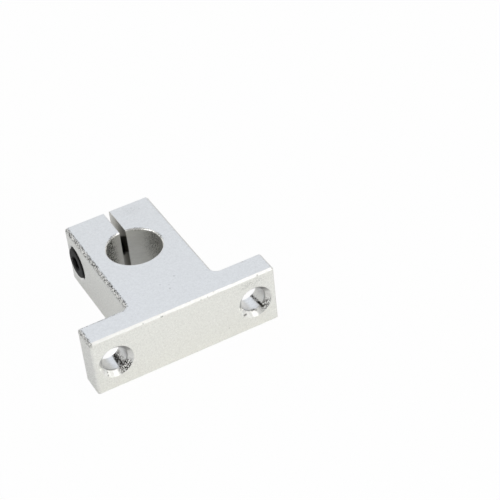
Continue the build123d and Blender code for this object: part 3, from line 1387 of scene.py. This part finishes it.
@dataclass
class ClampScrew:
    """The socket head cap screw that closes the split head."""

    head_face: float = -10.25
    axis: Pair = (10.25, 7.0)
    head: float = 3.5
    head_height: float = 4.0
    head_edge: float = 0.35
    knurl_depth: float = 0.07
    knurl_start: float = 0.25
    knurl_end: float = 0.3
    knurl_end_loss: float = 0.6
    under_head: Pair = (3.1, 2.6)
    neck: float = 0.2
    thread: float = 1.95
    thread_depth: float = 0.4
    thread_fade: float = 0.6
    crest: Pair = (1.25, 0.1)
    pitch: float = 0.7
    rows_a_turn: int = 10
    tip: float = 9.75
    tip_chamfer: float = 0.6
    socket: float = 1.5
    socket_depth: float = 2.0
    socket_mouth: float = 1.85
    pilot: float = 1.45
    pilot_depth: float = 0.6
    pilot_rings: Triple = (0.35, 0.7, 1.0)
    columns: int = 120
    sharp_degrees: float = 32.0

    def ring(self, x: float, radius: float | Array) -> Array:
        """Points round the screw's axis at a place along it."""
        return round_axis(x, radius, even_turns(self.columns), self.axis)

    def hexagon(self) -> Array:
        """The socket's radius at each angle: half its width over the cosine from a flat's middle."""
        return self.socket / np.cos(even_turns(self.columns) % (TURN / 6) - TURN / 12)

    def bend(self, x: float, radius: float, size: float, steps: int) -> list[Array]:
        """Rings of a quarter circle that starts along the radius and ends along the axis.

        Args:
            x: Where it starts along the axis.
            radius: The radius where it ends.
            size: The quarter circle's own radius.
            steps: How many rings it has.

        Returns:
            The rings after its start.
        """
        turns = np.linspace(0, math.pi / 2, steps + 1)[1:]
        return [
            self.ring(x + size * (1 - math.cos(turn)), radius + size * (math.sin(turn) - 1))
            for turn in turns
        ]

    def add_socket(self, skin: Skin) -> None:
        """Adds the socket: drilled floor, six walls and coned mouth, as rings along X.

        At each depth the wall is the hexagon or the mouth's cone, whichever is wider.

        Args:
            skin: The surface to add to.
        """
        floor, cone = self.head_face + self.socket_depth, self.socket_mouth - self.pilot
        rows = [
            self.ring(floor + self.pilot_depth * (1 - share), self.pilot * share)
            for share in self.pilot_rings
        ]
        walls = np.linspace(self.socket_depth, cone, 9), np.linspace(cone, 0, 9)[1:]
        for depth in np.concatenate(walls):
            radius = np.maximum(self.hexagon(), self.socket_mouth - depth)
            rows.append(self.ring(self.head_face + depth, radius))
        skin.add_grid(np.stack(rows), 0, ring=True)
        skin.add_cap(rows[0], np.array([floor + self.pilot_depth, *self.axis]), 0)

    def add_head(self, skin: Skin) -> None:
        """Adds the head: flat face, rounded edge, knurled side, underside and neck.

        The edge and the neck are quarter circles. On the side the radius loses the knurl's
        depth at every second angle, less so towards both of its ends.

        Args:
            skin: The surface to add to.
        """
        face, edge = self.head_face, self.head_edge
        low, high = face + edge, face + self.head_height
        start = np.maximum(self.hexagon(), self.socket_mouth)
        rows = [
            self.ring(face, start + (self.head - edge - start) * t) for t in np.linspace(0, 1, 6)
        ]
        rows += self.bend(face, self.head, edge, 7)
        valley = self.knurl_depth * (np.arange(self.columns) % 2)
        places = np.linspace(low, high, 16)[1:]
        ends = 1 - self.knurl_end_loss * smooth_step(high - self.knurl_end, high, places)
        shares = smooth_step(low, low + self.knurl_start, places) * ends
        rows += [self.ring(x, self.head - valley * share) for x, share in zip(places, shares)]
        wide = self.thread + self.neck
        rows += [self.ring(high, radius) for radius in (*self.under_head, wide)]
        for turn in np.linspace(0, math.pi / 2, 5)[1:]:
            place = high + self.neck * (1 - math.cos(turn))
            rows.append(self.ring(place, self.thread + self.neck * (1 - math.sin(turn))))
        rubbed = [[0.0] * 5, [0.5], np.linspace(0.7, 1.0, 7), [0.8], [0.35] * 14, [0.0] * 7]
        skin.add_grid(np.stack(rows), 0, np.concatenate(rubbed), ring=True)

    def add_thread(self, skin: Skin) -> None:
        """Adds the threaded shank and its chamfered tip.

        The radius is a function of the angle and the place along the axis. Their phase, the
        place over the pitch less the angle's share of a turn, goes through a flat-topped
        triangle wave, whose depth fades in under the head. The tip's cone caps it.

        Args:
            skin: The surface to add to.
        """
        start = self.head_face + self.head_height + self.neck
        rows = int((self.tip - start) / self.pitch * self.rows_a_turn)
        x = np.linspace(start, self.tip, rows)
        phase = (x[:, None] / self.pitch - even_turns(self.columns) / TURN) % 1.0
        steep, cut = self.crest
        wave = np.clip(steep * (1 - np.abs(2 * phase - 1)) - cut, 0, 1)
        depth = self.thread_depth * smooth_step(start, start + self.thread_fade, x)
        cone = self.thread - np.clip(x - self.tip + self.tip_chamfer, 0, None)
        radius = np.minimum(self.thread - depth[:, None] * wave, cone[:, None])
        grid = np.stack([self.ring(place, ring) for place, ring in zip(x, radius)])
        skin.add_grid(grid, 0, ring=True)
        skin.add_cap(grid[-1], np.array([self.tip, *self.axis]), 0)

    def build(self, materials: list[bpy.types.Material]) -> bpy.types.Object:
        """Builds the screw's surface and hands it to its body.

        Args:
            materials: Its finish.

        Returns:
            The piece.
        """
        skin = Skin()
        self.add_socket(skin)
        self.add_head(skin)
        self.add_thread(skin)
        made = skin.piece("finished_screw", materials)
        shade(made, self.sharp_degrees)
        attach(made, "screw")
        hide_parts("clamp_screw")
        return made


class Wiring:
    """The node tree of a new material or world, whose nodes are added and joined in one call."""

    def __init__(self, owner: bpy.types.Material | bpy.types.World) -> None:
        """Switches the owner's nodes on and takes its tree."""
        owner.use_nodes = True
        self.tree = owner.node_tree

    def fill(self, node: bpy.types.Node, sockets: dict[int | str, object]) -> None:
        """Gives each socket what belongs in it: another node's output, or a constant."""
        for name, value in sockets.items():
            if isinstance(value, bpy.types.NodeSocket):
                self.tree.links.new(value, node.inputs[name])
            else:
                node.inputs[name].default_value = value

    def add(
        self, kind: str, sockets: dict[int | str, object] | None = None,
        output: int | str = 0, **settings: object,
    ) -> bpy.types.NodeSocket | None:
        """Adds a node.

        Args:
            kind: Its type.
            sockets: What goes into its sockets, by their names or places.
            output: The output that is wanted.
            settings: The node's own settings.

        Returns:
            That output, or None from a node that has none.
        """
        made = self.tree.nodes.new(kind)
        for name, value in settings.items():
            setattr(made, name, value)
        self.fill(made, sockets or {})
        return made.outputs[output] if made.outputs else None

    def noise(self, place: bpy.types.NodeSocket, size: float, detail: float) -> bpy.types.NodeSocket:
        """Adds a noise with features of a size in millimetres."""
        sockets = {"Vector": place, "Scale": 1 / (size * MM), "Detail": detail}
        return self.add("ShaderNodeTexNoise", sockets, "Fac")

    def ramp(
        self, value: bpy.types.NodeSocket, low: tuple[float, Triple], high: tuple[float, Triple]
    ) -> bpy.types.NodeSocket:
        """Adds a blend from one tone to another.

        Args:
            value: What it follows.
            low: The value of the first tone, and that tone.
            high: The value of the second tone, and that tone.

        Returns:
            The blended tone.
        """
        made = self.tree.nodes.new("ShaderNodeValToRGB")
        for stop, (position, tone) in zip(made.color_ramp.elements, (low, high)):
            stop.position = position
            stop.color = (*tone, 1.0)
        self.fill(made, {"Fac": value})
        return made.outputs["Color"]


@dataclass(frozen=True)
class LampPlan:
    """One rectangular soft lamp that faces the part."""

    name: Lamp
    place: Triple
    size: Pair
    power: float
    colour: Triple


@dataclass
class Studio:
    """Pale floor, soft lamps and the camera, none of them part of the object."""

    focal_px: float = 1582.44
    frame_px: int = 500
    sensor_mm: float = 36.0
    rotation_vector: Triple = (2.17615, -0.60729, 0.17618)
    offset_mm: Triple = (-23.323, 9.998, 343.718)
    clip_m: Pair = (0.01, 50.0)
    floor_size: float = 6.0
    floor_gap_mm: float = 0.02
    floor_tone: tuple[float, float, float, float] = (0.93, 0.93, 0.93, 1.0)
    open_white: float = 0.97
    mirrored_white: float = 0.10
    shaded_radius: float = 0.006
    open_radius: float = 0.009
    surround: float = 1.07
    horizon_tone: Triple = (1.0, 0.995, 0.965)
    zenith_tone: Triple = (0.315, 0.313, 0.304)
    zenith_from: float = 0.8
    lamps: tuple[LampPlan, ...] = (
        LampPlan(Lamp.OVERHEAD, (0.10, 0.45, 0.75), (0.9, 0.7), 1.344, (0.789, 0.868, 1.0)),
        LampPlan(Lamp.FRONT, (0.35, -0.85, 0.16), (0.9, 0.28), 4.2, (1.0, 1.0, 0.9)),
        LampPlan(Lamp.KEY, (0.33, -0.58, 0.66), (0.42, 0.32), 0.62, (1.0, 0.99, 0.97)),
        LampPlan(Lamp.LEFT, (-0.8, -0.03, 0.6), (0.8, 0.24), 0.7, (1.0, 1.0, 0.98)),
    )

    def rotation(self) -> Array:
        """Rows are the picture's right, its down and the way the camera looks.

        Returns:
            The turn from the part's frame to the camera's, by the rotation vector's formula.
        """
        v = np.array(self.rotation_vector)
        angle = np.linalg.norm(v)
        x, y, z = v / angle
        cross = np.array([[0, -z, y], [z, 0, -x], [-y, x, 0]])
        return np.eye(3) + math.sin(angle) * cross + (1 - math.cos(angle)) * cross @ cross

    def add_camera(self) -> bpy.types.Object:
        """Adds the camera at the photograph's place.

        Returns:
            The scene's camera.
        """
        turn = self.rotation()
        place = -turn.T @ np.array(self.offset_mm) * MM
        right, down, look = turn
        data = bpy.data.cameras.new("camera")
        data.sensor_width = self.sensor_mm
        data.lens = self.focal_px * self.sensor_mm / self.frame_px
        data.clip_start, data.clip_end = self.clip_m
        camera = bpy.data.objects.new("camera", data)
        bpy.context.scene.collection.objects.link(camera)
        basis = np.column_stack([right, -down, -look])
        camera.matrix_world = Matrix.Translation(Vector(place)) @ Matrix(basis.tolist()).to_4x4()
        bpy.context.scene.camera = camera
        return camera

    def floor_material(self) -> bpy.types.Material:
        """A pale matt floor that reads as white away from the part.

        Camera and glossy rays see an even white mixed over the matt floor. The camera's share
        of it fades out under the part, so that the floor seen through the bore stays shaded.
        From below the floor is clear, so that the part's underside shows.

        Returns:
            The material.
        """
        material = bpy.data.materials.new("studio_floor")
        wiring = Wiring(material)
        wiring.tree.nodes.clear()
        add = wiring.add
        place = add("ShaderNodeTexCoord", output="Object")
        distance = add("ShaderNodeVectorMath", {0: place}, "Value", operation="LENGTH")
        span = {"Value": distance, "From Min": self.shaded_radius, "From Max": self.open_radius}
        away = add("ShaderNodeMapRange", span, interpolation_type="SMOOTHSTEP")
        glossy = add("ShaderNodeLightPath", output="Is Glossy Ray")
        glossy = add("ShaderNodeMath", {0: glossy, 1: self.mirrored_white}, operation="MULTIPLY")
        camera = add("ShaderNodeLightPath", output="Is Camera Ray")
        camera = add("ShaderNodeMath", {0: camera, 1: self.open_white}, operation="MULTIPLY")
        share = add("ShaderNodeMath", {0: camera, 1: away, 2: glossy}, operation="MULTIPLY_ADD")
        matt = add("ShaderNodeBsdfDiffuse", {"Color": self.floor_tone})
        white = add("ShaderNodeEmission", {"Strength": 1.0})
        upper = add("ShaderNodeMixShader", {"Fac": share, 1: matt, 2: white})
        below = add("ShaderNodeNewGeometry", output="Backfacing")
        clear = add("ShaderNodeBsdfTransparent")
        both = add("ShaderNodeMixShader", {"Fac": below, 1: upper, 2: clear})
        add("ShaderNodeOutputMaterial", {"Surface": both})
        return material

    def add_floor(self) -> bpy.types.Object:
        """Adds the floor that the part lies on.

        Returns:
            A flat square, a hair below the part.
        """
        half, low = self.floor_size / 2, -self.floor_gap_mm * MM
        mesh = bpy.data.meshes.new("studio_floor")
        corners = [(-half, -half, low), (half, -half, low), (half, half, low), (-half, half, low)]
        mesh.from_pydata(corners, [], [(0, 1, 2, 3)])
        mesh.materials.append(self.floor_material())
        floor = bpy.data.objects.new("studio_floor", mesh)
        bpy.context.scene.collection.objects.link(floor)
        return floor

    def add_lamps(self) -> None:
        """Adds the soft lamps, each turned to the part."""
        for plan in self.lamps:
            data = bpy.data.lights.new(plan.name.value, "AREA")
            data.shape = "RECTANGLE"
            data.size, data.size_y = plan.size
            data.energy = plan.power
            data.color = plan.colour
            lamp = bpy.data.objects.new(plan.name.value, data)
            bpy.context.scene.collection.objects.link(lamp)
            lamp.location = plan.place
            lamp.rotation_mode = "QUATERNION"
            lamp.rotation_quaternion = (-Vector(plan.place)).to_track_quat("-Z", "Y")

    def add_world(self) -> None:
        """Sets a pale surround, warm at the horizon and dim overhead, white to the camera."""
        world = bpy.data.worlds.new("studio_world")
        wiring = Wiring(world)
        wiring.tree.nodes.clear()
        add = wiring.add
        place = add("ShaderNodeTexCoord", output="Generated")
        rise = add("ShaderNodeSeparateXYZ", {0: place}, "Z")
        grade = wiring.ramp(rise, (0.0, self.horizon_tone), (self.zenith_from, self.zenith_tone))
        soft = add("ShaderNodeBackground", {"Color": grade, "Strength": self.surround})
        white = add("ShaderNodeBackground", {"Strength": 1.0})
        camera = add("ShaderNodeLightPath", output="Is Camera Ray")
        mix = add("ShaderNodeMixShader", {"Fac": camera, 1: soft, 2: white})
        add("ShaderNodeOutputWorld", {"Surface": mix})
        bpy.context.scene.world = world

    def build(self) -> None:
        """Sets up the camera, floor, lamps, world and view."""
        bpy.context.scene.view_settings.view_transform = "Standard"
        self.add_camera()
        self.add_floor()
        self.add_lamps()
        self.add_world()


@dataclass(frozen=True)
class MetalFinish:
    """A bare metal surface with a grain, drawn out along some axes by the way it was cut.

    Lengths are in millimetres. The grain is two noises on the object's own coordinates, a coarse
    and a fine one. It lifts the surface, and where it lies low the metal is darker and rougher.
    Chips and painted shade, read from the mesh, are darker still, and so are the specks where
    the metal is torn, which on the bore's left side are painted shade.
    The details are those of the coarse noise, of the fine one and of the specks.
    """

    name: str
    colour: Triple
    metal: float = 1.0
    roughness: float = 0.45
    rough_swing: float = 0.06
    coarse: float = 0.9
    fine: float = 0.28
    fine_share: float = 0.65
    details: Triple = (2.0, 3.0, 1.0)
    grain_span: Pair = (0.3, 0.7)
    stretch: Triple = (1.0, 1.0, 1.0)
    relief: float = 0.003
    dusk: float = 0.06
    # The dark tone of chips, specks, rubbing and painted shade.
    mark_and_shade_tone: Triple = (0.06, 0.06, 0.058)
    chip_rough: float = 0.65
    speck: float = 0.2
    speck_levels: Pair = (0.47, 0.56)
    specular: float = 0.5

    def material(self) -> bpy.types.Material:
        """Makes the finish.

        Returns:
            The material.
        """
        material = bpy.data.materials.new(self.name)
        wiring = Wiring(material)
        add = wiring.add
        low, high = self.grain_span
        coarse_detail, fine_detail, speck_detail = self.details
        place = add("ShaderNodeTexCoord", output="Object")
        drawn = add("ShaderNodeVectorMath", {0: place, 1: self.stretch}, operation="MULTIPLY")
        coarse = wiring.noise(drawn, self.coarse, coarse_detail)
        fine = wiring.noise(drawn, self.fine, fine_detail)
        height = add("ShaderNodeMix", {0: self.fine_share, 2: coarse, 3: fine}, data_type="FLOAT")
        dark = tuple(part * (1 - self.dusk) for part in self.colour)
        light = tuple(min(1.0, part * (1 + self.dusk)) for part in self.colour)
        tone = wiring.ramp(height, (low, dark), (high, light))
        swing = add("ShaderNodeMapRange", {
            "Value": height, "From Min": low, "From Max": high,
            "To Min": self.roughness + self.rough_swing, "To Max": self.roughness - self.rough_swing,
        })

        # The chips' darkness and rubbing, and the painted shade, read from the mesh.
        wear_and_shade = add("ShaderNodeAttribute", output="Fac", attribute_name="wear_and_shade")
        # Specks, some of them painted shade.
        torn = add("ShaderNodeAttribute", output="Fac", attribute_name="specks_and_shade")
        specks = add("ShaderNodeMapRange", {
            "Value": wiring.noise(place, self.speck, speck_detail),
            "From Min": self.speck_levels[0], "From Max": self.speck_levels[1],
        }, interpolation_type="SMOOTHSTEP")
        # The dark tone's share: chips, specks and painted shade.
        chips = add(
            "ShaderNodeMath", {0: specks, 1: torn, 2: wear_and_shade},
            operation="MULTIPLY_ADD", use_clamp=True)
        chipped = {0: chips, 6: tone, 7: (*self.mark_and_shade_tone, 1.0)}
        bump = {"Strength": 1.0, "Distance": self.relief * MM, "Height": height}
        wiring.fill(wiring.tree.nodes["Principled BSDF"], {
            "Metallic": self.metal,
            "Specular IOR Level": self.specular,
            "Base Color": add("ShaderNodeMix", chipped, 2, data_type="RGBA"),
            "Roughness": add(
                "ShaderNodeMix", {0: chips, 2: swing, 3: self.chip_rough}, data_type="FLOAT"),
            "Normal": add("ShaderNodeBump", bump, "Normal"),
        })
        return material


def block_materials() -> list[bpy.types.Material]:
    """Makes the block's finishes, one for each way that its surfaces were cut.

    Returns:
        The materials, in the order of the cuts.
    """
    finishes = {
        Cut.BROAD_FACE: MetalFinish(
            "faced_aluminium", (0.86, 0.865, 0.87), rough_swing=0.05,
            coarse=0.7, fine=0.3, relief=0.0035),
        Cut.SIDE: MetalFinish(
            "blasted_aluminium", (0.893, 0.893, 0.872),
            coarse=0.5, fine=0.27, relief=0.016, dusk=0.12, speck=0.26),
        Cut.CHAMFER: MetalFinish(
            "chamfered_aluminium", (0.83, 0.83, 0.825), roughness=0.36, relief=0.004, dusk=0.045),
        Cut.BORE: MetalFinish(
            "reamed_aluminium", (0.94, 0.935, 0.905), roughness=0.36,
            stretch=(0.3, 0.3, 1.6), speck=0.24),
        Cut.HOLE: MetalFinish(
            "drilled_aluminium", (0.84, 0.84, 0.84), roughness=0.34, stretch=(1.0, 2.0, 1.0),
            relief=0.006, dusk=0.14, mark_and_shade_tone=(0.052, 0.048, 0.046),
            speck=0.3, speck_levels=(0.44, 0.51)),
        Cut.SLIT: MetalFinish(
            "sawn_aluminium", (0.76, 0.75, 0.715), roughness=0.42, stretch=(1.0, 0.3, 2.0),
            relief=0.005, dusk=0.08, mark_and_shade_tone=(0.1, 0.095, 0.08)),
        Cut.RIM: MetalFinish(
            "burnished_aluminium", (0.95, 0.95, 0.94), roughness=0.2, rough_swing=0.04,
            relief=0.002, dusk=0.03),
    }
    return [finishes[cut].material() for cut in Cut]


def screw_materials() -> list[bpy.types.Material]:
    """Makes the screw's blackened steel, rubbed a little lighter along the head's edge.

    Returns:
        The material, in a list of one.
    """
    finish = MetalFinish(
        "black_oxide_steel", (0.01, 0.01, 0.0105), metal=0.2, roughness=0.5, coarse=0.6, fine=0.15,
        relief=0.004, dusk=0.3, mark_and_shade_tone=(0.014, 0.014, 0.014), chip_rough=0.45, specular=0.13)
    return [finish.material()]


def main() -> None:
    """Builds the studio, the block and the screw in order, and reports each piece."""
    logging.basicConfig(level=logging.INFO, format="%(message)s")
    Studio().build()
    block = SupportBlock().build(block_materials())
    screw = ClampScrew().build(screw_materials())
    for made in (block, screw):
        LOG.info("%s rides in the frame with %d materials", made.name, len(made.data.materials))


if __name__ == "__main__":
    main()
